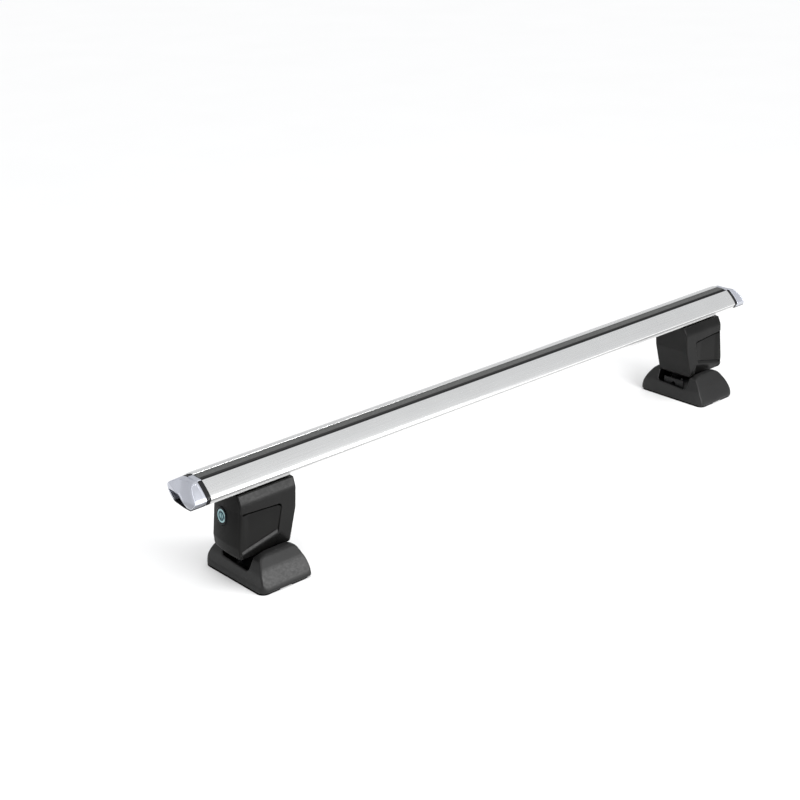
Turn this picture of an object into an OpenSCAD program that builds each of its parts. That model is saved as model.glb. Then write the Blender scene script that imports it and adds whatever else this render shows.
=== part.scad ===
// Roof rack crossbar: one hollow wing bar on two lockable feet.
// Millimetres. X runs along the bar, Y across it, Z up. The pads stand on Z = 0.

/* [Bar] */
// Length of the aluminium bar
bar_len = 1200; // [900:10:1500]
// Height of the bar's flat underside above the roof
bar_z = 149.5; // [149.5:0.5:149.5]
// Width of the upper slot's mouth, which the rubber infill covers
slot_w = 21; // [19:0.5:22]
// Width of the lower slot that the feet slide in
under_slot_w = 11; // [10:0.5:12]
// Length of the bright end cap outside its black insert
cap_len = 25; // [20:1:30]
// Thickness of the black insert between bar and cap
insert_t = 7.4; // [5:0.2:10]

/* [Feet] */
// Distance of each foot's middle from the bar's middle
foot_x = 506; // [350:1:515]
// Half width of the tower across the bar
tower_w = 35; // [34:0.5:36]
// Half width of the base across the bar
base_w = 73; // [70:1:78]
// Radius of the base's corners seen from above
base_r = 13; // [8:1:18]
// Radius of the coloured lock face
lock_r = 11.6; // [9:0.2:12.4]
// Radius of the hole for the roof bolt
roof_hole_r = 4.5; // [3.5:0.25:5]

/* [Hidden] */
e = 0.01;
black = [0.13, 0.13, 0.14];
rubber = [0.2, 0.2, 0.2];
alu = [0.82, 0.83, 0.85];
steel = [0.6, 0.61, 0.63];
slot_c = -1;            // the upper slot's middle in Y
lip_f = slot_c - slot_w / 2;
lip_r = slot_c + slot_w / 2;
crown_r = 130;            // the tower's outer face is crowned
face_tilt = 6.34;         // slope of that face
crown_u = 49.5;           // its middle line at crown_z
crown_z = 121;
lock_y = 8;
lock_z = 105;
lock_yaw = asin(lock_y / crown_r);
lock_u = crown_u + (crown_z - lock_z) * tan(face_tilt) - (crown_r - sqrt(crown_r * crown_r - lock_y * lock_y));
pivot_u = -4;
pivot_z = 68;

// ---- outline helpers ----
function bez(a, b, c, d, n = 8) = [for (i = [0:n - 1]) let (t = i / n, s = 1 - t)
  a * s * s * s + b * 3 * s * s * t + c * 3 * s * t * t + d * t * t * t];
// each corner [x, y, r] of an outline becomes an arc of radius r
function unit(v) = v / norm(v);
function corner(p, q, r, n) = let (a = [p[0] - q[0], p[1] - q[1]], b = [r[0] - q[0], r[1] - q[1]],
    ua = unit(a), ub = unit(b), half = acos(max(-1, min(1, ua * ub))) / 2, k = q[2] / tan(half),
    c = [q[0], q[1]] + unit(ua + ub) * q[2] / sin(half), s = [q[0], q[1]] + ua * k, f = [q[0], q[1]] + ub * k,
    a0 = atan2(s[1] - c[1], s[0] - c[0]), d0 = atan2(f[1] - c[1], f[0] - c[0]) - a0,
    d = d0 > 180 ? d0 - 360 : (d0 < -180 ? d0 + 360 : d0))
  q[2] == 0 ? [[q[0], q[1]]] : [for (i = [0:n]) c + q[2] * [cos(a0 + d * i / n), sin(a0 + d * i / n)]];
function soft(p, n = 5) = [for (i = [0:len(p) - 1]) each corner(p[(i + len(p) - 1) % len(p)], p[i], p[(i + 1) % len(p)], n)];

// extrusions along Y and X of an outline drawn in (u, z) or (y, z)
module along_y(w) { translate([0, w / 2, 0]) rotate([90, 0, 0]) linear_extrude(w) children(); }
module along_x(x0, x1) { translate([x0, 0, 0]) rotate([90, 0, 90]) linear_extrude(x1 - x0) children(); }
module mid_box(x0, x1, w, z0, z1) { translate([x0, -w / 2, z0]) cube([x1 - x0, w, z1 - z0]); }

// ---- bar section, drawn in (y, z) ----
section_pts = concat(
  bez([lip_f, bar_z + 33.4], [-18, bar_z + 28.7], [-31, bar_z + 15], [-32.9, bar_z + 8]),
  bez([-32.9, bar_z + 8], [-33.6, bar_z + 4], [-31, bar_z], [-26.5, bar_z], 6),
  bez([13, bar_z], [22, bar_z], [35, bar_z + 9.5], [35.4, bar_z + 19]),
  bez([35.4, bar_z + 19], [35.6, bar_z + 28], [24, bar_z + 35.6], [lip_r, bar_z + 35.3]),
  [[lip_r, bar_z + 35.3]]);
module section_outline() { polygon(section_pts); }
module section_solid() {
  difference() {
    section_outline();
    // shallow seat of the infill, neck and chamber of the upper slot
    translate([lip_f, bar_z + 31]) square([slot_w, 8]);
    translate([slot_c - 6, bar_z + 28]) square([12, 5]);
    translate([slot_c - 11.5, bar_z + 20.5]) square([23, 8]);
    // lower slot
    translate([-under_slot_w / 2, bar_z - 1]) square([under_slot_w, 5]);
    translate([-11, bar_z + 2.5]) square([22, 8]);
    // hollow chambers
    translate([-11, bar_z + 12.5]) square([22, 6]);
    polygon([for (p = [[-13, 2.2], [-27, 2.2], [-29.6, 3.6], [-30.5, 7.2], [-28.4, 12], [-25.6, 16.2], [-24, 18.3], [-13, 18.3]]) [p[0], p[1] + bar_z]]);
    polygon([for (p = [[13, 2.3], [18, 3.2], [24, 6.2], [29, 10.6], [32, 15.2], [32.8, 19.6], [31.6, 24.4], [28.4, 28.6], [24, 31.4], [19, 32.4], [13, 32.8]]) [p[0], p[1] + bar_z]]);
  }
}

// The extrusion is one piece. It is drawn as five prisms that meet face to face, so that its two slots stay open in collision.
module bar_part() {
  color(alu) along_x(-bar_len / 2, bar_len / 2) intersection() {
    section_solid();
    children();
  }
}
module front_zone() { polygon([for (p = [[-40, -5], [-11, -5], [-11, 11.5], [-12.5, 11.5], [-12.5, 40], [-40, 40]]) [p[0], p[1] + bar_z]]); }
module rear_zone() { polygon([for (p = [[40, -5], [40, 40], [10.5, 40], [10.5, 11.5], [11, 11.5], [11, -5]]) [p[0], p[1] + bar_z]]); }
module bar_front_wing() { bar_part() front_zone(); }
module bar_rear_wing() { bar_part() rear_zone(); }
module bar_web() {
  bar_part() difference() {
    translate([-12.5, bar_z + 10.5]) square([23.5, 10]);
    front_zone();
    rear_zone();
  }
}
module bar_upper_lips() { bar_part() translate([-12.5, bar_z + 20.5]) square([23, 20]); }
module bar_lower_lips() { bar_part() translate([-11, bar_z - 1]) square([22, 11.5]); }

module top_infill() {
  color(rubber) along_x(-bar_len / 2, bar_len / 2) polygon([
    [lip_f + 0.3, bar_z + 31], [lip_f + 0.3, bar_z + 32], [lip_f + 3.6, bar_z + 32], [lip_f + 4.4, bar_z + 33.9],
    [lip_f + 5.6, bar_z + 34.4], [slot_c + 1.5, bar_z + 34.9], [lip_r - 1.6, bar_z + 34.7], [lip_r - 0.4, bar_z + 34.2],
    [lip_r - 0.3, bar_z + 31], [slot_c + 5.8, bar_z + 31], [slot_c + 5.8, bar_z + 27.8], [slot_c + 7.6, bar_z + 27.6],
    [slot_c + 6.6, bar_z + 26.4], [slot_c + 4.2, bar_z + 26.4], [slot_c + 4.2, bar_z + 29.6], [slot_c - 4.2, bar_z + 29.6],
    [slot_c - 4.2, bar_z + 26.4], [slot_c - 6.6, bar_z + 26.4], [slot_c - 7.6, bar_z + 27.6], [slot_c - 5.8, bar_z + 27.8],
    [slot_c - 5.8, bar_z + 31]]);
}

// Black insert at the +X end: a flange as wide as the bar, open at the slot for the cap's tongue, and two plugs.
module insert_end() {
  x0 = bar_len / 2;
  color(black) difference() {
    union() {
      along_x(x0, x0 + insert_t) difference() {
        section_outline();
        translate([lip_f, bar_z + 24]) square([slot_w, 20]);
      }
      along_x(x0 - 14, x0 + 1) {
        polygon([for (p = [[-13.4, 2.6], [-26.8, 2.6], [-29.1, 3.9], [-30, 7.2], [-28, 11.8], [-25.3, 15.9], [-23.8, 17.9], [-13.4, 17.9]]) [p[0], p[1] + bar_z]]);
        polygon([for (p = [[13.4, 2.8], [18, 3.7], [23.7, 6.6], [28.6, 10.9], [31.5, 15.4], [32.3, 19.6], [31.1, 24.2], [28, 28.2], [23.7, 30.9], [19, 31.9], [13.4, 32.3]]) [p[0], p[1] + bar_z]]);
      }
    }
    along_x(x0 - 20, x0 - 2) {
      translate([-26, bar_z + 4.6]) square([10.5, 10]);
      translate([15.6, bar_z + 6]) square([10, 22]);
    }
  }
}

// Bright cap at the +X end: the wing runs on and is cut away by a slope from its top edge to its lower tip.
module cap_end() {
  x0 = bar_len / 2;
  x1 = x0 + insert_t;
  color(alu) union() {
    difference() {
      along_x(x1, x1 + cap_len) section_outline();
      // the slope
      translate([x1 + 1.5, 5, bar_z + 35]) rotate([0, 0, -12.5]) rotate([0, 41.5, 0]) translate([-30, -80, 0]) cube([120, 160, 60]);
      // a shallow scoop in the slope, towards the lower edge
      translate([x1 + cap_len + 22, -4, bar_z + 22]) rotate([-14, 0, 0]) rotate([0, 90, 90]) translate([0, 0, -8]) cylinder(h = 60, r = 24, $fn = 96);
      // hollow end under the slope
      along_x(x1 + 6, x1 + cap_len + 1) polygon([for (p = [[-5, 2], [16, 2], [24, 6.2], [29, 10.6], [31.2, 15], [30, 17.6], [14, 13.5], [2, 8.5]]) [p[0], p[1] + bar_z]]);
    }
    // tongue that closes the slot
    along_x(x0 - 0.0, x1 + 1) translate([lip_f + 0.2, bar_z + 24.2]) polygon([[0, 0], [slot_w - 0.4, 0], [slot_w - 0.4, 10.6], [slot_w / 2, 10.5], [0, 9.4]]);
  }
}

// ---- foot, drawn with u outward from its middle; the right foot stands at +foot_x ----
// side outline of the tower in (u, z)
tower_uz = soft([[48.4, 147.5, 0], [49.8, 121, 40], [55.8, 67, 16], [54, 50, 9], [45, 41.5, 7], [-24, 40, 10], [-35.5, 48, 4],
  [-50.5, 103, 14], [-51.3, 147.5, 0]], 6);
// end outline of the tower in (y, z)
function tower_yz(w) = soft([[w, 60, 5], [w, 141, 9], [w - 5, 147.5, 0], [5 - w, 147.5, 0], [-w, 141, 9], [-w, 60, 5], [1.5 - w, 49, 4], [12 - w, 42.3, 14], [0, 40.6, 80], [w - 12, 42.3, 14], [w - 1.5, 49, 4]], 5);
function plan(a, b, w, ro, ri) = soft([[a, -w, ro], [a, w, ro], [b, w, ri], [b, -w, ri]], 8);

// cylinder whose side is the crowned outer face, or a face parallel to it inside
module crown(r) { translate([crown_u, 0, crown_z]) rotate([0, -face_tilt, 0]) translate([-crown_r, 0, -140]) cylinder(h = 280, r = r, $fn = 360); }

module tower_form(w, ro) {
  intersection() {
    along_y(2 * w) polygon(tower_uz);
    along_x(-60, 60) polygon(tower_yz(w));
    translate([0, 0, 30]) linear_extrude(130) polygon(plan(52.5, -51.4, w, ro, 6));
    crown(crown_r);
  }
}
// recess that the cover's wings fill, in (u, z)
recess_uz = soft([[70, 121, 0], [-25, 115, 5], [-16, 76, 5], [70, 57, 0]], 6);
wing_uz = soft([[60, 120.2, 0], [-24.5, 114.5, 4.6], [-15.6, 76.5, 4.6], [60, 59.6, 0]], 6);
// where cover and housing part near the outer end, below the crown's own parting, in (u, z)
part_uz = [[51, 72], [51.2, 62], [49.6, 54], [46, 47.5], [40, 30], [80, 30], [80, 72]];
shell_uz = [[50.6, 72.4], [50.8, 62], [49.2, 54.2], [45.4, 47.7], [39, 30], [80, 30], [80, 72.4]];
cavity_uz = [[80, 56], [80, 142.5], [-47, 142.5], [-46.5, 104], [-38.6, 74], [-33, 56]];

module housing() {
  color(black) difference() {
    tower_form(tower_w, 5);
    // outer end and side recesses that belong to the cover
    along_y(100) polygon(shell_uz);
    difference() {
      mid_box(20, 80, 100, 30, 160);
      crown(crown_r - 4.2);
    }
    for (s = [-1, 1]) translate([0, s * (tower_w - 5.2 + 10), 0]) along_y(20) polygon(recess_uz);
    // room inside, with a lug left standing for the cross bolt
    difference() {
      along_y(2 * (tower_w - 7.4)) polygon(cavity_uz);
      mid_box(-14, 8, 37, 50, 80);
      mid_box(-49, -13, 5, 50, 142.6);
    }
    // ways for the bracket's ears and for the roof bolt
    for (s = [-1, 1]) translate([-18, s * 21.5 - 2.9, 30]) cube([32, 5.8, 40]);
    mid_box(12, 34, 20, 30, 60);
    // cross bolt, clamp bolt
    translate([pivot_u, 22, pivot_z]) rotate([90, 0, 0]) cylinder(h = 44, r = 4.15, $fn = 48);
    translate([0, 0, 130]) cylinder(h = 30, r = 4.3, $fn = 48);
  }
  // catch that the lock's cam turns behind
  color(black) translate([32, 21, 94]) cube([3, 7, 28]);
}

module saddle_pad() {
  color(rubber) difference() {
    intersection() {
      mid_box(-50, 43.4, 50, 147.5, bar_z);
      translate([0, 0, 140]) linear_extrude(20) polygon(plan(43, -49.8, 25, 6, 6));
    }
    translate([0, 0, 140]) cylinder(h = 20, r = 7, $fn = 48);
  }
}

module clamp_plate() {
  color(steel) difference() {
    union() {
      mid_box(-27, 27, 21, bar_z + 3, bar_z + 8);
      mid_box(-27, 27, 10, bar_z + 0.2, bar_z + 3.1);
    }
    translate([0, 0, 140]) cylinder(h = 30, r = 4.05, $fn = 48);
  }
}

module clamp_bolt() {
  color(steel) difference() {
    union() {
      translate([0, 0, 132.6]) cylinder(h = 8, r = 6.5, $fn = 48);
      translate([0, 0, 140.5]) cylinder(h = bar_z + 8 - 140.5, r = 4, $fn = 48);
    }
    translate([0, 0, 132.5]) cylinder(h = 4.5, r = 3.46, $fn = 6);
  }
}

module clamp_washer() {
  color(steel) difference() {
    translate([0, 0, 140.6]) cylinder(h = 1.9, r = 9, $fn = 48);
    translate([0, 0, 140]) cylinder(h = 4, r = 4.2, $fn = 48);
  }
}

module lock_cover() {
  color(black) difference() {
    intersection() {
      tower_form(tower_w - 2.2, 4);
      union() {
        along_y(100) polygon(part_uz);
        difference() {
          mid_box(20, 80, 100, 30, 160);
          crown(crown_r - 3.8);
        }
        for (s = [-1, 1]) translate([0, s * (tower_w - 4.9 + 10), 0]) along_y(20) polygon(wing_uz);
      }
    }
    // hollow behind the face
    intersection() {
      along_y(2 * (tower_w - 4.9)) polygon([[30, 20], [30, 160], [60, 160], [60, 74], [52.6, 70], [52.4, 60], [50.6, 53], [46.4, 45], [40, 20]]);
      crown(crown_r - 2.6);
    }
    // seat of the lock
    at_lock() translate([0, 0, -20]) cylinder(h = 40, r = 9.6, $fn = 72);
    at_lock() translate([0, 0, -0.8]) cylinder(h = 10, r = 14.4, $fn = 72);
  }
  // sleeve that carries the barrel
  color(black) at_lock() difference() {
    translate([0, 0, -12]) cylinder(h = 9.6, r = 11.6, $fn = 72);
    translate([0, 0, -13]) cylinder(h = 20, r = 9.6, $fn = 72);
  }
}

// The lock stands square to the sloping face.
module at_lock() { translate([lock_u, lock_y, lock_z]) rotate([0, 0, lock_yaw]) rotate([0, 90 - face_tilt, 0]) children(); }

module lock_ring() {
  color(black) at_lock() difference() {
    union() {
      translate([0, 0, -5]) cylinder(h = 5, r = 9.55, $fn = 72);
      translate([0, 0, -0.8]) cylinder(h = 2.2, r = 14.2, $fn = 72);
    }
    translate([0, 0, -6]) cylinder(h = 10, r = 8.58, $fn = 72);
    translate([0, 0, 0.3]) cylinder(h = 8, r = lock_r + 0.15, $fn = 72);
  }
}

module lock_barrel() {
  color([0.3, 0.62, 0.66]) at_lock() difference() {
    union() {
      translate([0, 0, -22]) cylinder(h = 22.6, r = 8.5, $fn = 72);
      translate([0, 0, 0.4]) cylinder(h = 0.9, r = lock_r, $fn = 72);
      translate([0, 0, -26]) cylinder(h = 5, r = 3, $fn = 48);
    }
    translate([-4.4, -0.9, -8]) cube([8.8, 1.8, 20]);
    translate([0, 0, 0.8]) cylinder(h = 3, r = 5, $fn = 48);
  }
}

module lock_cam() {
  color(steel) at_lock() difference() {
    union() {
      translate([0, 0, -25]) cylinder(h = 2.5, r = 6, $fn = 48);
      translate([-17.5, -4, -25]) cube([17.5, 8, 2.5]);
    }
    translate([0, 0, -27]) cylinder(h = 7, r = 3.02, $fn = 48);
  }
}

module support_bracket() {
  color(steel) difference() {
    union() {
      mid_box(-38, 30, 60, 9, 12);
      for (s = [-1, 1]) translate([0, s * 21.5, 0]) {
        mid_box(-15, 9, 3.4, 9, 60);
        along_y(3.4) translate([pivot_u, pivot_z]) circle(r = 11, $fn = 72);
        mid_box(-15, 7, 3.4, 50, pivot_z);
      }
      // upturned end that shows in the inner opening
      mid_box(-38, -35, 44, 9, 38);
    }
    translate([pivot_u, 50, pivot_z]) rotate([90, 0, 0]) cylinder(h = 100, r = 4.15, $fn = 48);
    translate([22, 0, 0]) cylinder(h = 30, r = roof_hole_r, $fn = 48);
    for (x = [-27, 15], y = [-1, 1]) translate([x, y * 14 + (x > 0 ? y * 11 : 0), 0]) cylinder(h = 30, r = 2.7, $fn = 36);
    translate([-39, 0, 27]) rotate([0, 90, 0]) cylinder(h = 8, r = 5, $fn = 36);
  }
}

module cross_bolt() {
  color(steel) translate([pivot_u, 0, pivot_z]) rotate([90, 0, 0]) {
    translate([0, 0, -27.4]) cylinder(h = 51, r = 4, $fn = 48);
    translate([0, 0, 23.3]) cylinder(h = 4.1, r = 7.5, $fn = 6);
  }
}

module cross_nut() {
  color(steel) translate([pivot_u, 0, pivot_z]) rotate([90, 0, 0]) difference() {
    translate([0, 0, -27.4]) cylinder(h = 4.1, r = 7.5, $fn = 6);
    translate([0, 0, -28]) cylinder(h = 6, r = 4.03, $fn = 48);
  }
}

// dome of the base: outlines in (u, z) and (y, z), less a wall all round
function dome_uz(t) = soft([[47 - t, 3 + t * 0.3, 0], [47 - t, 6, 0], [44.6 - t, 10, 8], [41.5 - t, 27, 30], [31 - t * 0.7, 47 - t * 0.5, 14],
  [14, 54.5 - t, 30], [-24, 54.5 - t, 20], [t * 0.7 - 37, 47 - t * 0.5, 10], [t - 44.6, 31, 12], [t - 45.8, 6, 0], [t - 45.8, 3 + t * 0.3, 0]], 5);
function dome_yz(t) = let (w = base_w - t) soft([[w, 3 + t * 0.3, 0], [w, 5, 0], [w - 3, 16, 16], [w - 11, 32, 50], [w - 25, 49 - t * 0.5, 14],
  [30, 55.5 - t, 10], [-30, 55.5 - t, 10], [25 - w, 49 - t * 0.5, 14], [11 - w, 32, 50], [3 - w, 16, 16], [-w, 5, 0], [-w, 3 + t * 0.3, 0]], 5);

module dome(t) {
  intersection() {
    along_y(200) polygon(dome_uz(t));
    along_x(-60, 60) polygon(dome_yz(t));
    linear_extrude(80) polygon(plan(47 - t, t - 45.8, base_w - t, base_r - t * 0.8, base_r - t * 0.8));
  }
}

module base_shell() {
  color(black) difference() {
    dome(0);
    difference() {
      dome(3.4);
      mid_box(-60, 60, 200, -1, 6);
    }
    // one opening right through along the bar: low sills at both ends, and a seat for the tower above
    along_x(-61, 61) polygon(soft([[-34, 22.5, 5], [34, 22.5, 5], [34, 48, 2], [tower_w + 0.7, 50.5, 1], [tower_w + 0.7, 70, 0],
      [-tower_w - 0.7, 70, 0], [-tower_w - 0.7, 50.5, 1], [-34, 48, 2]], 6));
    translate([22, 0, 0]) cylinder(h = 30, r = roof_hole_r, $fn = 48);
    for (x = [-27, 15], y = [-1, 1]) translate([x, y * 14 + (x > 0 ? y * 11 : 0), 0]) cylinder(h = 30, r = 2.55, $fn = 36);
  }
}

module base_plate() {
  color(steel) difference() {
    translate([0, 0, 6]) linear_extrude(3) polygon(plan(39, -39, 62, 9, 9));
    translate([22, 0, 0]) cylinder(h = 30, r = roof_hole_r, $fn = 48);
    for (x = [-27, 15], y = [-1, 1]) translate([x, y * 14 + (x > 0 ? y * 11 : 0), 0]) cylinder(h = 30, r = 2.55, $fn = 36);
  }
}

module base_pad() {
  color(rubber) difference() {
    intersection() {
      linear_extrude(3) polygon(plan(46, -45, base_w - 1, base_r - 1, base_r - 1));
      union() {
        mid_box(-60, 60, 200, 1.4, 4);
        mid_box(-60, -10, 200, -1, 2);
        mid_box(13, 60, 200, -1, 2);
      }
    }
    translate([22, 0, -1]) cylinder(h = 30, r = roof_hole_r, $fn = 48);
  }
}

module base_screws() {
  color(steel) for (x = [-27, 15], y = [-1, 1]) translate([x, y * 14 + (x > 0 ? y * 11 : 0), 0]) difference() {
    union() {
      translate([0, 0, 3]) cylinder(h = 9.5, r = 2.5, $fn = 36);
      translate([0, 0, 12]) cylinder(h = 3, r = 4.5, $fn = 36);
    }
    translate([0, 0, 13.4]) cylinder(h = 3, r = 2.3, $fn = 6);
  }
}

module at_left() { mirror([1, 0, 0]) translate([foot_x, 0, 0]) children(); }
module at_right() { translate([foot_x, 0, 0]) children(); }

bar_front_wing();
bar_rear_wing();
bar_web();
bar_upper_lips();
bar_lower_lips();
top_infill();
mirror([1, 0, 0]) insert_end();  // end_insert_left
insert_end();  // end_insert_right
mirror([1, 0, 0]) cap_end();  // end_cap_left
cap_end();  // end_cap_right
at_left() housing();  // left_housing
at_left() saddle_pad();  // left_saddle_pad
at_left() clamp_plate();  // left_clamp_plate
at_left() clamp_bolt();  // left_clamp_bolt
at_left() clamp_washer();  // left_clamp_washer
at_left() lock_cover();  // left_lock_cover
at_left() lock_ring();  // left_lock_ring
at_left() lock_barrel();  // left_lock_barrel
at_left() lock_cam();  // left_lock_cam
at_left() support_bracket();  // left_support_bracket
at_left() cross_bolt();  // left_cross_bolt
at_left() cross_nut();  // left_cross_nut
at_left() base_shell();  // left_base_shell
at_left() base_plate();  // left_base_plate
at_left() base_pad();  // left_base_pad
at_left() base_screws();  // left_base_screws
at_right() housing();  // right_housing
at_right() saddle_pad();  // right_saddle_pad
at_right() clamp_plate();  // right_clamp_plate
at_right() clamp_bolt();  // right_clamp_bolt
at_right() clamp_washer();  // right_clamp_washer
at_right() lock_cover();  // right_lock_cover
at_right() lock_ring();  // right_lock_ring
at_right() lock_barrel();  // right_lock_barrel
at_right() lock_cam();  // right_lock_cam
at_right() support_bracket();  // right_support_bracket
at_right() cross_bolt();  // right_cross_bolt
at_right() cross_nut();  // right_cross_nut
at_right() base_shell();  // right_base_shell
at_right() base_plate();  // right_base_plate
at_right() base_pad();  // right_base_pad
at_right() base_screws();  // right_base_screws
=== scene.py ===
import math
import bpy
import numpy as np
from mathutils import Matrix, Vector
from mathutils.geometry import tessellate_polygon


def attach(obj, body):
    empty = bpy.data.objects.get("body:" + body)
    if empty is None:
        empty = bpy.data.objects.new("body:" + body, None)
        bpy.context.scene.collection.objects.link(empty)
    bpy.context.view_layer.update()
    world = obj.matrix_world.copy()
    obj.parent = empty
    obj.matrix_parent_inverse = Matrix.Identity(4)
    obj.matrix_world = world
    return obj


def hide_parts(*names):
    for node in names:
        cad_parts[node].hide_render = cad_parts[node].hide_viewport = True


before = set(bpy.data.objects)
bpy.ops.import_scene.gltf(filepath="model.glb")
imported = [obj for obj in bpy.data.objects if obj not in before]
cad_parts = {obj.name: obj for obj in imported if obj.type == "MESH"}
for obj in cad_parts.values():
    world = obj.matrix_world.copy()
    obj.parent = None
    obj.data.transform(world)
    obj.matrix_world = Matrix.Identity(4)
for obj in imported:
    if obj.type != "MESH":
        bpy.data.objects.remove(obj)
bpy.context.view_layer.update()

MM = 0.001

# Sizes of the part, in millimetres, in its own frame.
BAR = 600.0          # half length of the aluminium
BZ = 149.5           # flat underside of the bar
FOOT = 506.0         # middle of each foot
SLOT = -1.0          # middle of the upper slot in Y
LIP_F, LIP_R = SLOT - 10.5, SLOT + 10.5
CAP0 = 607.4         # where the bright cap begins
CAP1 = 632.4
W = 35.0             # half width of the tower
CROWN = 130.0
TILT = math.radians(6.34)
LOCK_Y, LOCK_Z = 8.0, 105.0
YAW = math.asin(LOCK_Y / CROWN)
LOCK_U = 49.5 + (121 - LOCK_Z) * math.tan(TILT) - (CROWN - math.sqrt(CROWN ** 2 - LOCK_Y ** 2))


# ---------------------------------------------------------------- outlines
def bez(a, b, c, d, n):
    """n points of a cubic, without its last."""
    t = (np.arange(n) / n)[:, None]
    s = 1 - t
    a, b, c, d = (np.array(p, float) for p in (a, b, c, d))
    return [tuple(p) for p in a * s ** 3 + b * 3 * s * s * t + c * 3 * s * t * t + d * t ** 3]


def soft(points, n=5):
    """Corners [x, y, r] of a closed outline become arcs of radius r."""
    out, m = [], len(points)
    for i in range(m):
        x, y, r = points[i]
        q = np.array([x, y], float)
        if r <= 0:
            out.append((x, y))
            continue
        a = np.array(points[i - 1][:2], float) - q
        b = np.array(points[(i + 1) % m][:2], float) - q
        a, b = a / np.linalg.norm(a), b / np.linalg.norm(b)
        half = math.acos(max(-1.0, min(1.0, float(a @ b)))) / 2
        if abs(half - math.pi / 2) < 1e-3:
            out.append((x, y))
            continue
        mid = (a + b) / np.linalg.norm(a + b)
        c = q + mid * r / math.sin(half)
        s, f = q + a * r / math.tan(half), q + b * r / math.tan(half)
        a0 = math.atan2(*(s - c)[::-1])
        d = math.atan2(*(f - c)[::-1]) - a0
        d = (d + math.pi) % (2 * math.pi) - math.pi
        out += [tuple(c + r * np.array([math.cos(a0 + d * k / n), math.sin(a0 + d * k / n)])) for k in range(n + 1)]
    return out


def flip(points):
    return [(-x, y) for x, y in points]


# ---------------------------------------------------------------- distance fields
def inside_of(points, x, y):
    """Signed distance to a closed outline, negative inside."""
    near, hit = None, None
    for (ax, ay), (bx, by) in zip(points, points[1:] + points[:1]):
        ex, ey = bx - ax, by - ay
        if ex * ex + ey * ey < 1e-12:
            continue
        wx, wy = x - ax, y - ay
        t = np.clip((wx * ex + wy * ey) / (ex * ex + ey * ey), 0, 1)
        d = (wx - ex * t) ** 2 + (wy - ey * t) ** 2
        c = ((ay <= y) != (by <= y)) & ((ex * wy - ey * wx > 0) == (by > ay))
        near = d if near is None else np.minimum(near, d)
        hit = c if hit is None else hit ^ c
    return np.where(hit, -1.0, 1.0) * np.sqrt(near)


def both(a, b, r):
    """What a and b share, with a rounded edge of radius r."""
    if r <= 0:
        return np.maximum(a, b)
    return np.minimum(np.maximum(a, b), -r) + np.sqrt(np.maximum(a + r, 0) ** 2 + np.maximum(b + r, 0) ** 2)


def less(a, b, r):
    return both(a, -b, r)


def join(a, b, r):
    return -both(-a, -b, r)


def block(u, y, z, lo, hi):
    return np.maximum(np.maximum(np.maximum(lo[0] - u, u - hi[0]), np.maximum(lo[1] - y, y - hi[1])), np.maximum(lo[2] - z, z - hi[2]))


def net(f, lo, hi, h, steps=3):
    """Vertices, quads and normals of the surface f = 0 in a box, on a grid of pitch h."""
    lo, hi = np.array(lo, float), np.array(hi, float)
    n = [int(math.ceil((hi[k] - lo[k]) / h)) + 1 for k in range(3)]
    g = [lo[k] + h * np.arange(n[k]) for k in range(3)]
    v = np.array(np.broadcast_to(f(g[0][:, None, None], g[1][None, :, None], g[2][None, None, :]), n), float)
    neg, cn = v < 0, [m - 1 for m in n]
    total, count, quads = np.zeros((cn[0] * cn[1] * cn[2], 3)), np.zeros(cn[0] * cn[1] * cn[2]), []
    for a in range(3):
        b, c = (a + 1) % 3, (a + 2) % 3
        s0, s1 = [slice(None)] * 3, [slice(None)] * 3
        s0[a], s1[a] = slice(0, -1), slice(1, None)
        va, vb, na = v[tuple(s0)], v[tuple(s1)], neg[tuple(s0)]
        i = np.argwhere(na != neg[tuple(s1)])
        i = i[(i[:, b] > 0) & (i[:, b] < n[b] - 1) & (i[:, c] > 0) & (i[:, c] < n[c] - 1)]
        k = tuple(i.T)
        p = i.astype(float)
        p[:, a] += va[k] / (va[k] - vb[k])
        cells = []
        for db, dc in ((-1, -1), (0, -1), (0, 0), (-1, 0)):
            q = i.copy()
            q[:, b] += db
            q[:, c] += dc
            q = (q[:, 0] * cn[1] + q[:, 1]) * cn[2] + q[:, 2]
            cells.append(q)
            for m in range(3):
                total[:, m] += np.bincount(q, p[:, m], len(count))
            count += np.bincount(q, minlength=len(count))
        quad = np.stack(cells, 1)
        out = ~na[k]
        quad[out] = quad[out][:, ::-1]
        quads.append(quad)
    quads = np.concatenate(quads)
    used, inv = np.unique(quads, return_inverse=True)
    p = total[used] / count[used][:, None] * h + lo

    def slope(p, e=0.04):
        x, y, z = p.T
        return np.stack([f(x + e, y, z) - f(x - e, y, z), f(x, y + e, z) - f(x, y - e, z), f(x, y, z + e) - f(x, y, z - e)], 1) / (2 * e)

    for _ in range(steps):
        d, s = f(*p.T), slope(p)
        move = s * (d / np.maximum((s * s).sum(1), 0.05))[:, None]
        size = np.maximum(np.linalg.norm(move, axis=1), 1e-9)
        p = p - move * np.minimum(1, 0.45 * h / size)[:, None]
    s = slope(p, 0.12)
    s /= np.maximum(np.linalg.norm(s, axis=1), 1e-9)[:, None]
    return p, inv.reshape(-1, 4), s


# ---------------------------------------------------------------- mesh pieces
def make(name, points, faces, normals=None, sharp=32.0):
    """An object from points in millimetres of the part's frame."""
    me = bpy.data.meshes.new(name)
    me.from_pydata([tuple(float(c) * MM for c in p) for p in points], [], [tuple(int(i) for i in f) for f in faces])
    me.update()
    me.shade_smooth()
    if normals is None:
        me.set_sharp_from_angle(angle=math.radians(sharp))
    else:
        me.normals_split_custom_set_from_vertices([tuple(float(c) for c in n) for n in normals])
    ob = bpy.data.objects.new(name, me)
    bpy.context.scene.collection.objects.link(ob)
    return ob


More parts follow.
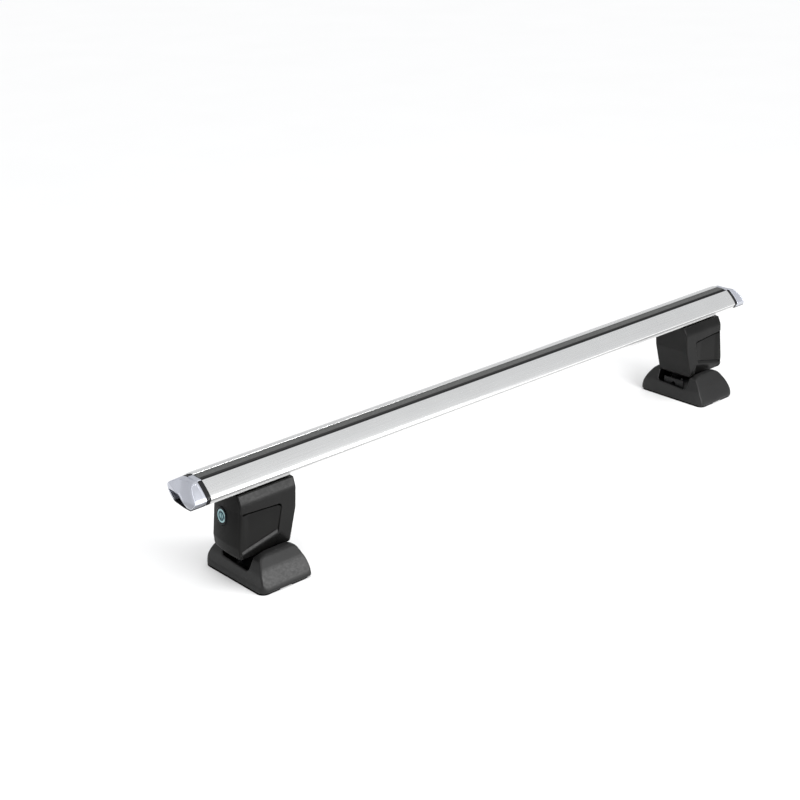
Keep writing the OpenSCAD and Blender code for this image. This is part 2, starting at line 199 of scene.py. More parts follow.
def placed(points, side):
    """Foot coordinates (u outward, y, z) to the part's frame."""
    p = np.array(points, float)
    p[:, 0] = side * (FOOT + p[:, 0])
    return p


def pair(name, mesh, origin=FOOT):
    """The same mesh on both sides. mesh is (points, faces, normals or None) with x outward from origin."""
    points, faces, normals = mesh
    made = {}
    for word, side in (("left", -1), ("right", 1)):
        p = np.array(points, float)
        p[:, 0] = side * (origin + p[:, 0])
        n = None
        if normals is not None:
            n = np.array(normals, float)
            n[:, 0] *= side
        f = [tuple(q)[::-1] for q in faces] if side < 0 else faces
        made[word] = make(name.format(word), p, f, n)
    return made


def prism(outline, holes, x0, x1, cuts=1):
    """A straight extrusion along X of an outline in (y, z) with holes."""
    loops = [list(outline)] + [list(h) for h in holes]
    points, faces, start = [], [], []
    xs = np.linspace(x0, x1, cuts + 1)
    for loop in loops:
        area = sum(a[0] * b[1] - b[0] * a[1] for a, b in zip(loop, loop[1:] + loop[:1]))
        if (area < 0) == (loop is loops[0]):
            loop.reverse()
        base, m = len(points), len(loop)
        start.append((base, m))
        for x in xs:
            points += [(x, y, z) for y, z in loop]
        for k in range(cuts):
            for i in range(m):
                j = (i + 1) % m
                faces.append((base + k * m + i, base + k * m + j, base + (k + 1) * m + j, base + (k + 1) * m + i))
    flat = [[Vector((y, z, 0)) for y, z in loop] for loop in loops]
    order = [(b, m, i) for b, m in start for i in range(m)]
    for t in tessellate_polygon(flat):
        ids = [order[i] for i in t]
        low = [b + i for b, m, i in ids]
        high = [b + cuts * m + i for b, m, i in ids]
        p = [np.array(points[i])[1:] for i in low]
        turn = (p[1][0] - p[0][0]) * (p[2][1] - p[0][1]) - (p[1][1] - p[0][1]) * (p[2][0] - p[0][0])
        if abs(turn) < 1e-9:
            continue
        faces.append(tuple(low[::-1] if turn > 0 else low))
        faces.append(tuple(high if turn > 0 else high[::-1]))
    return points, faces


# ---------------------------------------------------------------- bar
def up(points):
    return [(p[0], p[1] + BZ, *p[2:]) for p in points]


wing = (
    [(LIP_F, 33.4, 0.6)]
    + [(y, z, 0) for y, z in bez((LIP_F, 33.4), (-18.2, 29.2), (-28.0, 19.6), (-32.4, 13.0), 22)[1:]]
    + [(-33.6, 10.4, 2.2), (-27.2, 0, 1.6)]
    + [(-5.5, 0, 0.5), (-5.5, 2.5, 0.3), (-11, 2.5, 0.4), (-11, 10.5, 0.4), (11, 10.5, 0.4), (11, 2.5, 0.4), (5.5, 2.5, 0.3), (5.5, 0, 0.5)]
    + [(y, z, 0) for y, z in bez((13, 0), (22, 0), (34.4, 9.5), (35.2, 18.6), 22)]
    + [(y, z, 0) for y, z in bez((35.2, 18.6), (35.9, 27.6), (25.5, 35.7), (LIP_R, 35.3), 22)]
    + [(LIP_R, 35.3, 0.6), (LIP_R, 31, 0.2), (5, 31, 0.3), (5, 28, 0.3), (10.5, 28, 0.3), (10.5, 20.5, 0.4), (-12.5, 20.5, 0.4), (-12.5, 28, 0.3), (-7, 28, 0.3), (-7, 31, 0.3), (LIP_F, 31, 0.2)]
)
wing_outline = soft(up(wing), 5)
bar_holes = [
    up([(-11, 12.5), (11, 12.5), (11, 18.5), (-11, 18.5)]),
    up([(-13, 2.2), (-26.4, 2.2), (-27.9, 4.6), (-29.5, 7.4), (-29.9, 9.6), (-28.4, 12.8), (-25.6, 16.6), (-24, 18.3), (-13, 18.3)]),
    up([(13, 2.3), (18, 3.2), (24, 6.2), (29, 10.6), (32, 15.2), (32.8, 19.6), (31.6, 24.4), (28.4, 28.6), (24, 31.4), (19, 32.4), (13, 32.8)]),
]
bar = make("bar_surface", *prism(wing_outline, bar_holes, -BAR, BAR, 12), sharp=24)
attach(bar, "bar")
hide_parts("bar_front_wing", "bar_rear_wing", "bar_web", "bar_upper_lips", "bar_lower_lips")

# whole outline of the wing, without slots, for the insert and the cap
full_outline = soft(up(
    [(LIP_F, 33.4, 1.0)]
    + [(y, z, 0) for y, z in bez((LIP_F, 33.4), (-18.2, 29.2), (-28.0, 19.6), (-32.4, 13.0), 14)[1:]]
    + [(-33.6, 10.4, 2.4), (-27.2, 0, 2.0)]
    + [(y, z, 0) for y, z in bez((13, 0), (22, 0), (34.4, 9.5), (35.2, 18.6), 14)]
    + [(y, z, 0) for y, z in bez((35.2, 18.6), (35.9, 27.6), (25.5, 35.7), (LIP_R, 35.3), 14)]
    + [(LIP_R, 35.3, 1.0)]
), 4)

low_outline = soft(up(
    [(LIP_F, 33.4, 1.0)]
    + [(y, z, 0) for y, z in bez((LIP_F, 33.4), (-18.2, 29.2), (-28.0, 19.6), (-32.4, 13.0), 14)[1:]]
    + [(-33.6, 10.4, 2.4), (-27.2, 0, 2.0)]
    + [(y, z, 0) for y, z in bez((13, 0), (22, 0), (34.4, 9.5), (35.2, 18.6), 14)]
    + [(y, z, 0) for y, z in bez((35.2, 18.6), (35.4, 25.6), (26.5, 33.0), (LIP_R, 32.7), 14)]
    + [(LIP_R, 32.7, 1.0)]
), 4)

# ---------------------------------------------------------------- infill
ribs = []
for k in range(6):
    y = LIP_F + 7.6 + k * 2.1
    z = np.interp(y, [LIP_F + 6.6, SLOT + 1.5, LIP_R - 1.4], [34.4, 35.0, 34.75])
    ribs += [(y, z, 0.25), (y + 1.4, z + 0.03, 0.25), (y + 1.6, z - 0.38, 0.1), (y + 1.9, z - 0.38, 0.1)]
infill = soft(up(
    [(LIP_F + 0.2, 31.02, 0), (LIP_F + 0.2, 31.9, 0.3), (LIP_F + 5.6, 31.5, 0.3), (LIP_F + 6.0, 33.9, 0.5), (LIP_F + 7.0, 34.35, 0.4)]
    + ribs
    + [(LIP_R - 0.5, 34.3, 0.4), (LIP_R - 0.3, 31.02, 0), (SLOT + 5.8, 31.02, 0), (SLOT + 5.8, 27.8, 0), (SLOT + 7.6, 27.6, 0),
       (SLOT + 6.6, 26.4, 0), (SLOT + 4.2, 26.4, 0), (SLOT + 4.2, 29.6, 0), (SLOT - 4.2, 29.6, 0), (SLOT - 4.2, 26.4, 0),
       (SLOT - 6.6, 26.4, 0), (SLOT - 7.6, 27.6, 0), (SLOT - 5.8, 27.8, 0), (SLOT - 5.8, 31.02, 0)]
), 3)
strip = make("infill_strip", *prism(infill, [], -BAR + 0.1, BAR - 0.1, 12), sharp=40)
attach(strip, "bar")
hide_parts("top_infill")


# ---------------------------------------------------------------- insert and cap
def insert_field(x, y, z):
    """Black flange between bar and cap, x from BAR outward."""
    s = inside_of(low_outline, y, z)
    groove = np.where((x > 0.15) & (x < 1.35) | (x > 5.9) & (x < 7.1), 0.8, 0.0)
    d = both(s + groove + 0.05, np.maximum(-x, x - 7.38), 0.35)
    slot = np.maximum(np.maximum(LIP_F - y, y - LIP_R), BZ + 24 - z)
    d = less(d, slot, 0.3)
    front = inside_of(plug_f, y, z)
    rear = inside_of(plug_r, y, z)
    plugs = both(np.minimum(front, rear), np.maximum(-14 - x, x - 1), 0.4)
    return np.minimum(d, plugs)


plug_f = up([(-13.4, 2.6), (-26.0, 2.6), (-27.4, 4.8), (-29.0, 7.5), (-29.4, 9.5), (-28.0, 12.5), (-25.3, 16.2), (-23.8, 17.9), (-13.4, 17.9)])
plug_r = up([(13.4, 2.8), (18, 3.7), (23.7, 6.6), (28.6, 10.9), (31.5, 15.4), (32.3, 19.6), (31.1, 24.2), (28, 28.2), (23.7, 30.9), (19, 31.9), (13.4, 32.3)])
inserts = pair("insert_{}", net(insert_field, (-15.2, -35.6, BZ - 2), (8.8, 37.6, BZ + 38), 0.85), BAR)
for word, ob in inserts.items():
    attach(ob, "bar")
    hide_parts("end_insert_" + word)

# Corners of the cap's end face as (x from CAP0, y, z from BZ): top, rear tip, lower front tip.
TOP, REAR, TIP = (0.5, 8.0, 35.2), (20.3, 34.5, 28.2), (25.0, -26.0, 0.3)
slope_n = np.cross(np.subtract(REAR, TOP), np.subtract(TIP, TOP))
slope_n = -slope_n / np.linalg.norm(slope_n)
front_edge = [(33.4, LIP_F)] + [(z, y) for y, z in bez((LIP_F, 33.4), (-18.2, 29.2), (-28.0, 19.6), (-32.4, 13.0), 14)[1:]] + [(10.4, -33.3), (5, -30.2), (0, -27)]
front_edge = np.array(front_edge[::-1])
rear_edge = np.array([(z, y) for y, z in bez((35.2, 18.6), (35.4, 25.6), (26.5, 33.0), (LIP_R, 32.7), 14)[:-2]] + [(36, 10)])


# how far out the front surface runs, by height above BZ
wing_ends = ((0, 8, 11, 14, 17.5, 20, 23, 26, 29, 31.5, 33.4, 36), (25, 20.4, 20.2, 20.0, 19.4, 18.7, 17.8, 16.4, 14.6, 11.8, 6.5, 0.5))


def cap_face(y, z):
    """How far out the end face lies: a slope, a near flank that rises to the front surface, and a far one that runs back to the insert."""
    z = z - BZ
    slope = TOP[0] - (slope_n[1] * (y - TOP[1]) + slope_n[2] * (z - TOP[2])) / slope_n[0]
    t = np.clip((TOP[2] - z) / (TOP[2] - TIP[2]), 0, 1)
    edge = np.interp(z, front_edge[:, 0], front_edge[:, 1])
    crease_y = TOP[1] + t * (TIP[1] - TOP[1])
    wing_end = np.interp(z, wing_ends[0], wing_ends[1])
    near = wing_end + (TOP[0] + t * (TIP[0] - TOP[0]) - wing_end) * (y - edge) / np.maximum(crease_y - edge, 2.0)
    t = np.clip((TOP[2] - z) / (TOP[2] - REAR[2]), 0, 1)
    edge = np.interp(z, rear_edge[:, 0], rear_edge[:, 1])
    crease_y = TOP[1] + t * (REAR[1] - TOP[1])
    far = 1.3 + (TOP[0] + t * (REAR[0] - TOP[0]) - 0.6) * (edge - y) / np.maximum(edge - crease_y, 2.0)
    far = far + np.maximum(REAR[2] - z, 0) * 3.0
    return slope, near, far


def cap_field(x, y, z):
    """Silver cap, x from CAP0 outward, dished a little inside a narrow rim."""
    s = inside_of(low_outline, y, z)
    slope, near, far = cap_face(y, z)
    end = 25.0 - 0.10 * np.maximum(0, y + 12)
    hollow = inside_of(cap_hollow, y, z)
    face = both(join((x - slope) * slope_n[0], (x - near) * 0.72, 9.0), (x - far) * 0.62, 0.8)
    d = both(s, np.maximum(0.05 - x, x - end), 0.5)
    d = both(d, face, 0.9)
    panel = np.maximum(np.maximum(3.2 - x, face + 1.6), np.maximum(np.maximum(z - BZ - 31.0, BZ + 9.6 - z), y + 9.0))
    d = less(d, np.maximum(panel, -0.55 - s), 0.35)
    dish = np.maximum(-(face + 0.7), np.maximum(s + 2.0, 1.5 - hollow))
    dish = np.maximum(dish, 1.9 - x)
    d = less(d, dish, 0.5)
    d = less(d, np.maximum(hollow, 5 - x), 0.5)
    tongue = np.maximum(np.maximum(np.maximum(LIP_F + 0.2 - y, y - LIP_R + 0.2), np.maximum(BZ + 24.2 - z, z - BZ - 33.6 - (y - LIP_F) * 0.05)), np.maximum(-7.35 - x, x - 1.0))
    return join(d, tongue, 0.4)


cap_hollow = soft(up([(33.4, 15.6, 1), (28.9, 14.9, 3), (17.5, 15.8, 4), (7.2, 15.3, 4), (1, 12.4, 8), (-10.7, 6.0, 10), (-18.5, 2.2, 0.6), (-15, 1.6, 0), (12.5, 1.6, 0), (18, 2.8, 0), (23, 5.9, 0), (28.6, 10.6, 0), (32.2, 14, 0)]), 4)
caps = pair("cap_{}", net(cap_field, (-8.6, -35.4, BZ - 1.5), (26.6, 37.0, BZ + 37), 0.62), CAP0)
for word, ob in caps.items():
    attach(ob, "bar")
    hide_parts("end_cap_" + word)


# ---------------------------------------------------------------- tower
tower_uz = soft([[47.7, 162, 0], [49.8, 121, 40], [56.0, 67, 16], [54.2, 50, 9], [45, 41.5, 7], [-24, 40, 10], [-35.5, 48, 4], [-50.0, 101, 24], [-54.4, 162, 0]], 8)
foot_yz = soft([[80, 210, 0], [-80, 210, 0], [-80, 66, 0], [1.5 - W, 49, 5], [12 - W, 42.3, 14], [0, 40.6, 80], [W - 12, 42.3, 14], [W - 1.5, 49, 5], [80, 66, 0]], 6)
recess = soft([[70, 121, 0], [-25, 115, 5], [-16, 76, 5], [70, 57, 0]], 6)
recess_low = soft([[70, 121, 0], [-25, 115, 5], [-14.6, 68.9, 5], [70, 49.9, 0]], 6)
wing_panel = soft([[70, 118.3, 0], [-24.7, 112.6, 4.7], [-15.8, 76.2, 4.7], [70, 57.2, 0]], 6)
cavity = [(80, 56), (80, 142.5), (-47, 142.5), (-46.5, 104), (-38.6, 74), (-33, 56)]
HALF = 36.7          # half width of the sides, about a line just in front of the middle
OFF = 0.6


def shoulder(w):
    return soft([[w, 20, 0], [w, 134, 20], [w - 12, 160, 0], [12 - w, 160, 0], [-w, 134, 20], [-w, 20, 0]], 8)


shoulders = {HALF: shoulder(HALF)}


def crowned(u, y):
    """u with the outer face's crown taken out."""
    t = np.clip((u + 12) / 50, 0, 1)
    return u + (0.0024384 * y * y + 0.06592 * y - 0.4334) * t * t * (3 - 2 * t)


def lock_axes(u, y, z):
    """Coordinates (a toward the cam's rest side downward, b across, c outward) about the lock."""
    ct, st, cy, sy = math.cos(TILT), math.sin(TILT), math.cos(YAW), math.sin(YAW)
    n = (ct * cy, ct * sy, st)
    b = (-sy, cy, 0.0)
    a = (b[1] * n[2] - b[2] * n[1], b[2] * n[0] - b[0] * n[2], b[0] * n[1] - b[1] * n[0])
    p = (u - LOCK_U, y - LOCK_Y, z - LOCK_Z)
    return tuple(p[0] * k[0] + p[1] * k[1] + p[2] * k[2] for k in (a, b, n))


def ledge_height(u, z):
    """Height above the line of the bright ledge under the recess."""
    return (z - (57 + (70 - u) * 0.2209)) / 1.024


def tower_outside(u, y, z, w, edge):
    """Distances to the end outline, to the sides set w back, and to the whole."""
    a = inside_of(tower_uz, crowned(u, y), z)
    b = inside_of(shoulders[HALF], y + OFF, z) + w
    d = both(a, b, edge)
    return a, b, both(d, inside_of(foot_yz, (y + OFF) * (W / HALF), z), 2.5)


def housing_field(u, y, z):
    a, b, d = tower_outside(u, y, z, 0.0, 1.9)
    v, k = np.abs(y + OFF), np.abs(y)
    # the side turns in below the ledge, less so toward the inner end
    s1 = ledge_height(u, z) + 6.4
    s2 = -0.8 * (u + 19) + 0.6 * (z - 73)
    d = both(d, (v - HALF - 0.42 * join(-s1, -s2, 5.0) * -1) / 1.085, 1.2)
    d = both(d, z - 147.5, 0.9)
    # parting with the cover; the side strips run on to the outer corner
    cover_side = np.maximum(np.maximum(-4.4 - a, 33.5 - u), b + 2.6)
    d = less(d, cover_side, 0.4)
    d = np.maximum(d, a + 0.35)
    # recess for the cover's wing panels, and the ledge below
    d = less(d, np.maximum(inside_of(recess, u, z), 29.8 - v), 1.5)
    ledge = (HALF - 2.5 - 0.46 * ledge_height(u, z) - v) / 1.10
    d = less(d, both(inside_of(recess_low, u, z), ledge, 0.6), 0.7)
    # room inside, with the lug and the web left standing
    room = np.maximum(inside_of(cavity, u, z), k - 27.6)
    room = np.maximum(room, -block(u, y, z, (-14, -18.5, 40), (8, 18.5, 80)))
    room = np.maximum(room, -block(u, y, z, (-50, -2.5, 40), (-13, 2.5, 142.6)))
    d = less(d, room, 0.8)
    ways = np.minimum(block(u, k, z, (-18, 18.6, 20), (14, 24.4, 70)), block(u, y, z, (12, -10, 20), (34, 10, 60)))
    d = np.maximum(d, -ways)
    d = np.maximum(d, -np.maximum(np.sqrt((u + 4) ** 2 + (z - 68) ** 2) - 4.15, k - 22))
    d = np.maximum(d, -np.maximum(np.sqrt(u ** 2 + y ** 2) - 4.3, 130 - z))
    return np.minimum(d, block(u, y, z, (32, 21, 94), (35, 27.8, 122)))


def cover_field(u, y, z):
    t, e = np.clip((u + 23) / 20, 0, 1), np.clip((u - 34) / 13, 0, 1)
    a, b, d = tower_outside(u, y, z, 0.9 + 1.5 * t * t * (3 - 2 * t) - 2.1 * e * e * (3 - 2 * e), 3.4)
    v, k = np.abs(y + OFF), np.abs(y)
    d = both(d, z - 147.3, 0.9)
    face = np.maximum(-4.0 - a, 34 - u)
    panels = np.maximum(inside_of(wing_panel, u, z), 30.1 - v)
    d = both(d, np.minimum(face, panels), 0.5)
    d = less(d, np.maximum(np.maximum(a + 2.6, k - 30.1), inside_of(foot_yz, y, z) + 2.4), 0.4)
    la, lb, lc = lock_axes(u, y, z)
    r = np.sqrt(la ** 2 + lb ** 2)
    d = less(d, np.maximum(r - 14.45, np.maximum(-0.8 - lc, lc - 9)), 0.5)
    d = np.maximum(d, -np.maximum(r - 9.6, np.abs(lc) - 20))
    sleeve = np.maximum(np.abs(r - 10.6) - 1.0, np.abs(lc + 7.2) - 4.8)
    return np.minimum(d, sleeve)


housing = pair("housing_shell_{}", net(housing_field, (-53.5, -39.5, 37), (57, 38.5, 150.5), 1.15))
cover = pair("cover_shell_{}", net(cover_field, (-28, -39.5, 37.5), (58.5, 38.5, 150), 1.0))
for word in ("left", "right"):
    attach(housing[word], word + "_foot")
    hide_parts(word + "_housing")
    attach(cover[word], word + "_cover")
    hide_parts(word + "_lock_cover")


# ---------------------------------------------------------------- lock
def turned(profile, n=96):
    """A lathe piece about the lock's axis from (radius, height along the axis) points."""
    m = len(profile)
    points, faces = [], []
    for k in range(n):
        c, s = math.cos(2 * math.pi * k / n), math.sin(2 * math.pi * k / n)
        points += [(r * c, r * s, h) for r, h in profile]
    for k in range(n):
        for i in range(m - 1):
            a, b = k * m + i, ((k + 1) % n) * m + i
            faces.append((a, a + 1, b + 1, b))
    return points, faces


def on_lock(points):
    """Lock coordinates (toward down, across, outward) to foot coordinates."""
    ct, st, cy, sy = math.cos(TILT), math.sin(TILT), math.cos(YAW), math.sin(YAW)
    n = np.array((ct * cy, ct * sy, st))
    b = np.array((-sy, cy, 0.0))
    a = np.cross(b, n)
    p = np.array(points, float)
    return p[:, :1] * a + p[:, 1:2] * b + p[:, 2:] * n + np.array((LOCK_U, LOCK_Y, LOCK_Z))


ring_profile = [(8.6, -5), (8.6, 0.3), (10.5, 0.3), (10.5, 1.1), (10.75, 1.45), (11.5, 1.7), (12.7, 1.55), (13.7, 1.0), (14.2, 0.2), (14.2, -0.75), (9.55, -0.8), (9.55, -5), (8.6, -5)]
ring_points, ring_faces = turned(ring_profile)
rings = pair("lock_ring_{}", (on_lock(ring_points), [f[::-1] for f in ring_faces], None))
for word, ob in rings.items():
    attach(ob, word + "_cover")
    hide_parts(word + "_lock_ring")


def barrel_field(a, b, c):
    """Lock face: an outer ring, a dished band and a raised middle with a key slot."""
    r = np.sqrt(a ** 2 + b ** 2)
    d = both(r - 10.35, np.maximum(-1.4 - c, c - 1.35), 0.35)
    d = less(d, np.maximum(np.abs(r - 6.6) - 1.1, 0.55 - c), 0.3)
    slot = np.maximum(np.maximum(np.abs(a) - 4.3, np.abs(b) - 1.55), -1.2 - c)
    return less(d, slot, 0.15)


face_mesh = net(barrel_field, (-12.6, -12.6, -2.2), (12.6, 12.6, 2.2), 0.38)
shaft_points, shaft_faces = turned([(0.01, -26), (3, -26), (3, -21.9), (8.2, -22), (8.5, -21.6), (8.5, -1.2), (0.01, -1.2)], 64)
fp, ff, fn = face_mesh
nf = len(fp)
all_points = np.concatenate([fp, np.array(shaft_points)])
all_faces = [tuple(f) for f in ff] + [tuple(i + nf for i in f[::-1]) for f in shaft_faces]
barrels = pair("lock_barrel_{}", (on_lock(all_points), all_faces, None))
for word, ob in barrels.items():
    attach(ob, word + "_lock")
    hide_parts(word + "_lock_barrel")


# ---------------------------------------------------------------- base
def dome_outlines(t):
    uz = soft([[47.2 - t, -6, 0], [47.2 - t, 5.5, 1.2], [44.0 - t, 12, 9], [40.6 - t, 28, 30], [31 - t * 0.7, 47 - t * 0.5, 14], [14, 54.5 - t, 30],
               [-24, 54.5 - t, 20], [t * 0.7 - 37, 47 - t * 0.5, 10], [t - 44.3, 27, 30], [t - 46.9, 6.5, 1.2], [t - 46.4, -6, 0]], 7)
    n, f = 75.2 - t, 72.6 - t
    yz = soft([[f, -6, 0], [f, 5, 1.5], [f - 5.4, 19, 30], [f - 13, 34, 50], [f - 25.5, 50 - t * 0.5, 12], [30, 55.5 - t, 10], [-30, 55.5 - t, 10],
               [26.5 - n, 50.5 - t * 0.5, 12], [14 - n, 34, 50], [6 - n, 19, 30], [-n, 6.5, 1.5], [1.2 - n, -6, 0]], 7)
    plan = soft([[t - 47.0, -n, 8.5 - t * 0.8], [47.2 - t, -n, 14 - t * 0.8], [47.2 - t, f, 15 - t * 0.8], [t - 47.0, f, 11 - t * 0.8]], 10)
    return uz, yz, plan


domes = {t: dome_outlines(t) for t in (0.0, 3.4)}
base_way = soft([[-33.8, 24.6, 7], [34, 28.2, 6], [34.4, 47, 2], [HALF + 0.8, 50, 1], [HALF + 0.8, 70, 0], [-HALF - 0.8, 70, 0], [-HALF - 0.8, 50, 1], [-34.4, 47, 2]], 6)


def dome_field(u, y, z, t, r):
    uz, yz, plan = domes[t]
    return both(both(inside_of(uz, u, z), inside_of(yz, y, z), r), inside_of(plan, u, y), r)


def base_field(u, y, z):
    d = both(dome_field(u, y, z, 0.0, 2.6), 3.05 - z, 0.6)
    d = less(d, np.maximum(dome_field(u, y, z, 3.4, 1.5), 6 - z), 0.6)
    d = less(d, inside_of(base_way, y + OFF, z), 2.2)
    hole = np.sqrt((u - 22) ** 2 + y ** 2) - 4.5
    for x, s in ((-27, 14), (15, 25)):
        hole = np.minimum(hole, np.sqrt((u - x) ** 2 + (np.abs(y) - s) ** 2) - 2.55)
    return np.maximum(d, -np.maximum(hole, z - 30))


base = pair("base_shell_{}", net(base_field, (-48.6, -77, 0.5), (49, 74.5, 57), 1.25))
for word, ob in base.items():
    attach(ob, word + "_foot")
    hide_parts(word + "_base_shell")


# ---------------------------------------------------------------- materials
def new_material(name):
    m = bpy.data.materials.new(name)
    m.use_nodes = True
    t = m.node_tree
    t.nodes.clear()
    out = t.nodes.new("ShaderNodeOutputMaterial")
    p = t.nodes.new("ShaderNodeBsdfPrincipled")
    t.links.new(p.outputs["BSDF"], out.inputs["Surface"])
    return m, t, p


def coords(t, scale=(1, 1, 1), turn=(0, 0, 0)):
    c = t.nodes.new("ShaderNodeTexCoord")
    mp = t.nodes.new("ShaderNodeMapping")
    mp.inputs["Scale"].default_value = scale
    mp.inputs["Rotation"].default_value = turn
    t.links.new(c.outputs["Object"], mp.inputs["Vector"])
    return mp.outputs["Vector"]


def noise(t, vector, scale, detail=2.0, rough=0.5):
    n = t.nodes.new("ShaderNodeTexNoise")
    n.inputs["Scale"].default_value = scale
    n.inputs["Detail"].default_value = detail
    n.inputs["Roughness"].default_value = rough
    t.links.new(vector, n.inputs["Vector"])
    return n.outputs["Fac"]


def ramp(t, fac, stops):
    r = t.nodes.new("ShaderNodeValToRGB")
    e = r.color_ramp.elements
    while len(e) < len(stops):
        e.new(0.5)
    for el, (pos, col) in zip(e, stops):
        el.position = pos
        el.color = (*col, 1) if len(col) == 3 else col
    t.links.new(fac, r.inputs["Fac"])
    return r.outputs["Color"]


def spread(t, value, lo, hi, a=0.3, b=0.7):
    m = t.nodes.new("ShaderNodeMapRange")
    m.inputs["From Min"].default_value, m.inputs["From Max"].default_value = a, b
    m.inputs["To Min"].default_value, m.inputs["To Max"].default_value = lo, hi
    t.links.new(value, m.inputs["Value"])
    return m.outputs["Result"]


def bump(t, p, heights):
    """heights: [(socket, strength, distance in metres)], coarse ones first."""
    last = None
    for h, strength, distance in heights:
        b = t.nodes.new("ShaderNodeBump")
        b.inputs["Strength"].default_value = strength
        b.inputs["Distance"].default_value = distance
        t.links.new(h, b.inputs["Height"])
        if last is not None:
            t.links.new(last, b.inputs["Normal"])
        last = b.outputs["Normal"]
    t.links.new(last, p.inputs["Normal"])


def mixed(t, fac, a, b):
    """Colour mix of two sockets or colours."""
    m = t.nodes.new("ShaderNodeMix")
    m.data_type = "RGBA"
    for k, v in ((6, a), (7, b)):
        if isinstance(v, tuple):
            m.inputs[k].default_value = (*v, 1)
        else:
            t.links.new(v, m.inputs[k])
    if isinstance(fac, float):
        m.inputs[0].default_value = fac
    else:
        t.links.new(fac, m.inputs[0])
    return m.outputs[2]


def anodised(name, base, under, rough, lines=1.0):
    """Satin anodised extrusion: die lines along X, faint clouding, and a less metallic underside whose colour is
    painted shade, lighter at the very bottom and darkest just under the nose.
    """
    m, t, p = new_material(name)
    fine = noise(t, coords(t, (6, 2600, 2600)), 1.0, 3.0, 0.6)
    broad = noise(t, coords(t, (3, 240, 240)), 1.0, 2.0)
    cloud = noise(t, coords(t), 14.0, 3.0)
    c = t.nodes.new("ShaderNodeTexCoord")
    sep = t.nodes.new("ShaderNodeSeparateXYZ")
    t.links.new(c.outputs["Object"], sep.inputs[0])
    # below BZ+8.6 mm the colour is painted shade: the underside colour graded by height, with metallic dropped to 0.3
    low = spread(t, sep.outputs["Z"], 0.0, 1.0, (BZ + 8.6) * MM, (BZ + 10.6) * MM)
    upper = ramp(t, cloud, [(0.3, tuple(c * 0.955 for c in base)), (0.7, base)])
    depth = spread(t, sep.outputs["Z"], 0.0, 1.0, BZ * MM, (BZ + 9.6) * MM)
    painted_underside_shade = ramp(t, depth, [(0.0, tuple(c * 1.5 for c in under)), (0.42, tuple(c * 1.3 for c in under)), (0.68, tuple(c * 0.62 for c in under)), (1.0, tuple(c * 0.46 for c in under))])
    painted_underside_shade = mixed(t, 0.06, painted_underside_shade, cloud)
    t.links.new(mixed(t, low, painted_underside_shade, upper), p.inputs["Base Color"])
    t.links.new(spread(t, fine, rough - 0.04, rough + 0.05), p.inputs["Roughness"])
    t.links.new(spread(t, low, 0.30, 1.0, 0.0, 1.0), p.inputs["Metallic"])
    bump(t, p, [(broad, 0.05 * lines, 0.0006), (fine, 0.10 * lines, 0.00012)])
    return m


def grained(name, dark, light, rough, grain=1500.0, depth=0.00010, strength=0.35, level=0.33):
    """Moulded plastic with a fine spark-eroded grain."""
    m, t, p = new_material(name)
    v = coords(t)
    g = noise(t, v, grain, 2.0, 0.55)
    blotch = noise(t, v, 22.0, 4.0, 0.6)
    t.links.new(ramp(t, blotch, [(0.32, dark), (0.68, light)]), p.inputs["Base Color"])
    t.links.new(spread(t, noise(t, v, 260.0, 3.0), rough - 0.05, rough + 0.06), p.inputs["Roughness"])
    p.inputs["Specular IOR Level"].default_value = level
    bump(t, p, [(g, strength, depth)])
    return m


def painted(name, dark, light, rough, metallic):
    """Silver-painted plastic: fine flake and slight orange peel, with painted shade near black along the bottom edge.
    """
    m, t, p = new_material(name)
    v = coords(t)
    flake = noise(t, v, 5200.0, 1.0, 0.5)
    peel = noise(t, v, 420.0, 2.0, 0.5)
    c = t.nodes.new("ShaderNodeTexCoord")
    sep = t.nodes.new("ShaderNodeSeparateXYZ")
    t.links.new(c.outputs["Object"], sep.inputs[0])
    height = spread(t, sep.outputs["Z"], 0.0, 1.0, BZ * MM, (BZ + 12.0) * MM)
    # painted shade: near black for the lowest 2 mm, rising to a grey close to the paint by 3.2 mm; the paint takes
    # over from BZ+8.4 to BZ+10.3 mm
    painted_bottom_shade = ramp(t, height, [(0.0, (0.02, 0.02, 0.022)), (0.18, (0.03, 0.03, 0.033)), (0.27, (0.50, 0.512, 0.55)), (0.66, (0.48, 0.493, 0.535))])
    over = ramp(t, height, [(0.70, (0, 0, 0)), (0.86, (1, 1, 1))])
    paint = ramp(t, flake, [(0.35, dark), (0.65, light)])
    t.links.new(mixed(t, over, painted_bottom_shade, paint), p.inputs["Base Color"])
    t.links.new(spread(t, noise(t, v, 90.0, 2.0), rough - 0.03, rough + 0.04), p.inputs["Roughness"])
    p.inputs["Metallic"].default_value = metallic
    bump(t, p, [(peel, 0.06, 0.0002)])
    return m


def rubber(name, dark, light, rough, grain=900.0, level=0.15):
    m, t, p = new_material(name)
    v = coords(t)
    t.links.new(ramp(t, noise(t, v, 60.0, 4.0, 0.65), [(0.3, dark), (0.7, light)]), p.inputs["Base Color"])
    t.links.new(spread(t, noise(t, v, 150.0, 3.0), rough - 0.06, rough + 0.06), p.inputs["Roughness"])
    p.inputs["Specular IOR Level"].default_value = level
    bump(t, p, [(noise(t, v, grain, 3.0, 0.6), 0.35, 0.00015)])
    return m


